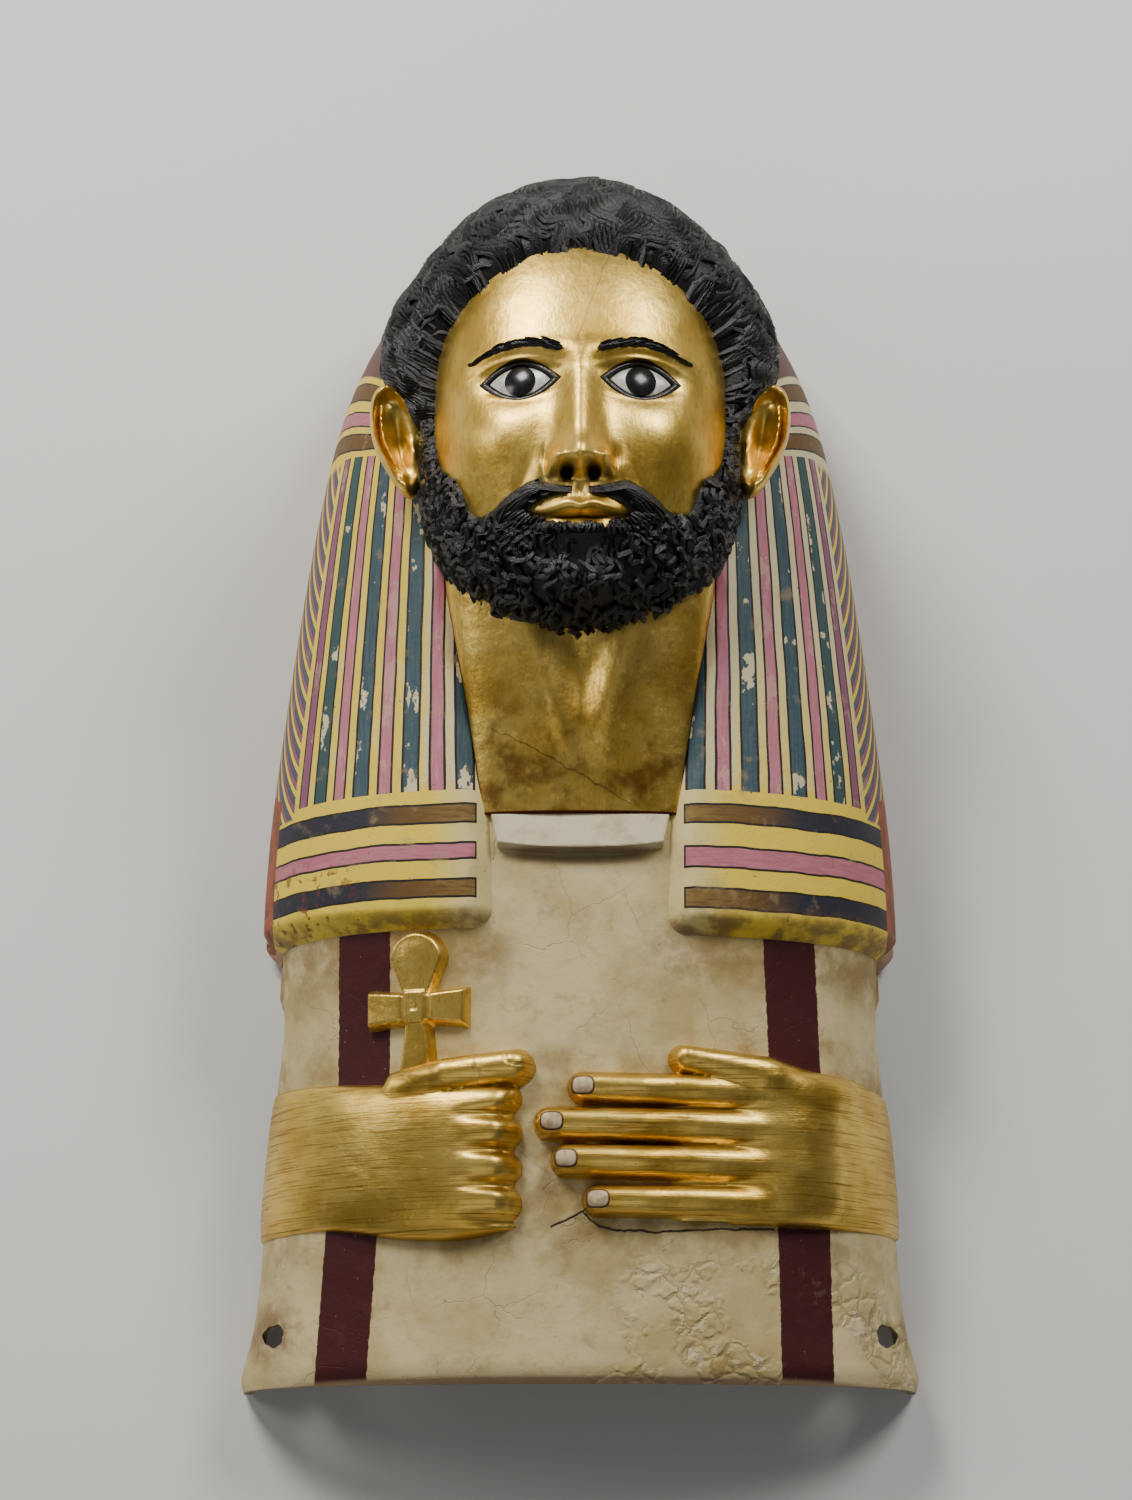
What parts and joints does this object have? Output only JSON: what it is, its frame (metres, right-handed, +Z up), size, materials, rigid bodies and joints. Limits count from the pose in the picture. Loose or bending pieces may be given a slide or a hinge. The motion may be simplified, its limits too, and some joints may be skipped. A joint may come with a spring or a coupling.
{
  "type": "egyptian mummy mask",
  "caption": "Gilded linen and plaster funerary mask of a bearded figure with painted veil and crossed arms, hollow, lying on its back.",
  "frame": {"origin": "on the surface the mask lies on, under the middle of its bounding box", "axes": "+Y from the foot edge to the crown, +Z up through the face, +X across"},
  "size_m": [0.336, 0.588, 0.2205],
  "materials": {
    "gilded_plaster": "burnished gold leaf and matt paint on plaster over linen",
    "black_rim": "satin black",
    "white_inlay": "polished, grey-white",
    "black_inlay": "polished, glossy black"
  },
  "bodies": {
    "root": {"mask_shell": "gilded_plaster", "left_eye_rim": "black_rim", "right_eye_rim": "black_rim", "left_eye_white": "white_inlay", "right_eye_white": "white_inlay", "left_iris": "black_inlay", "right_iris": "black_inlay"}
  },
  "joints": []
}
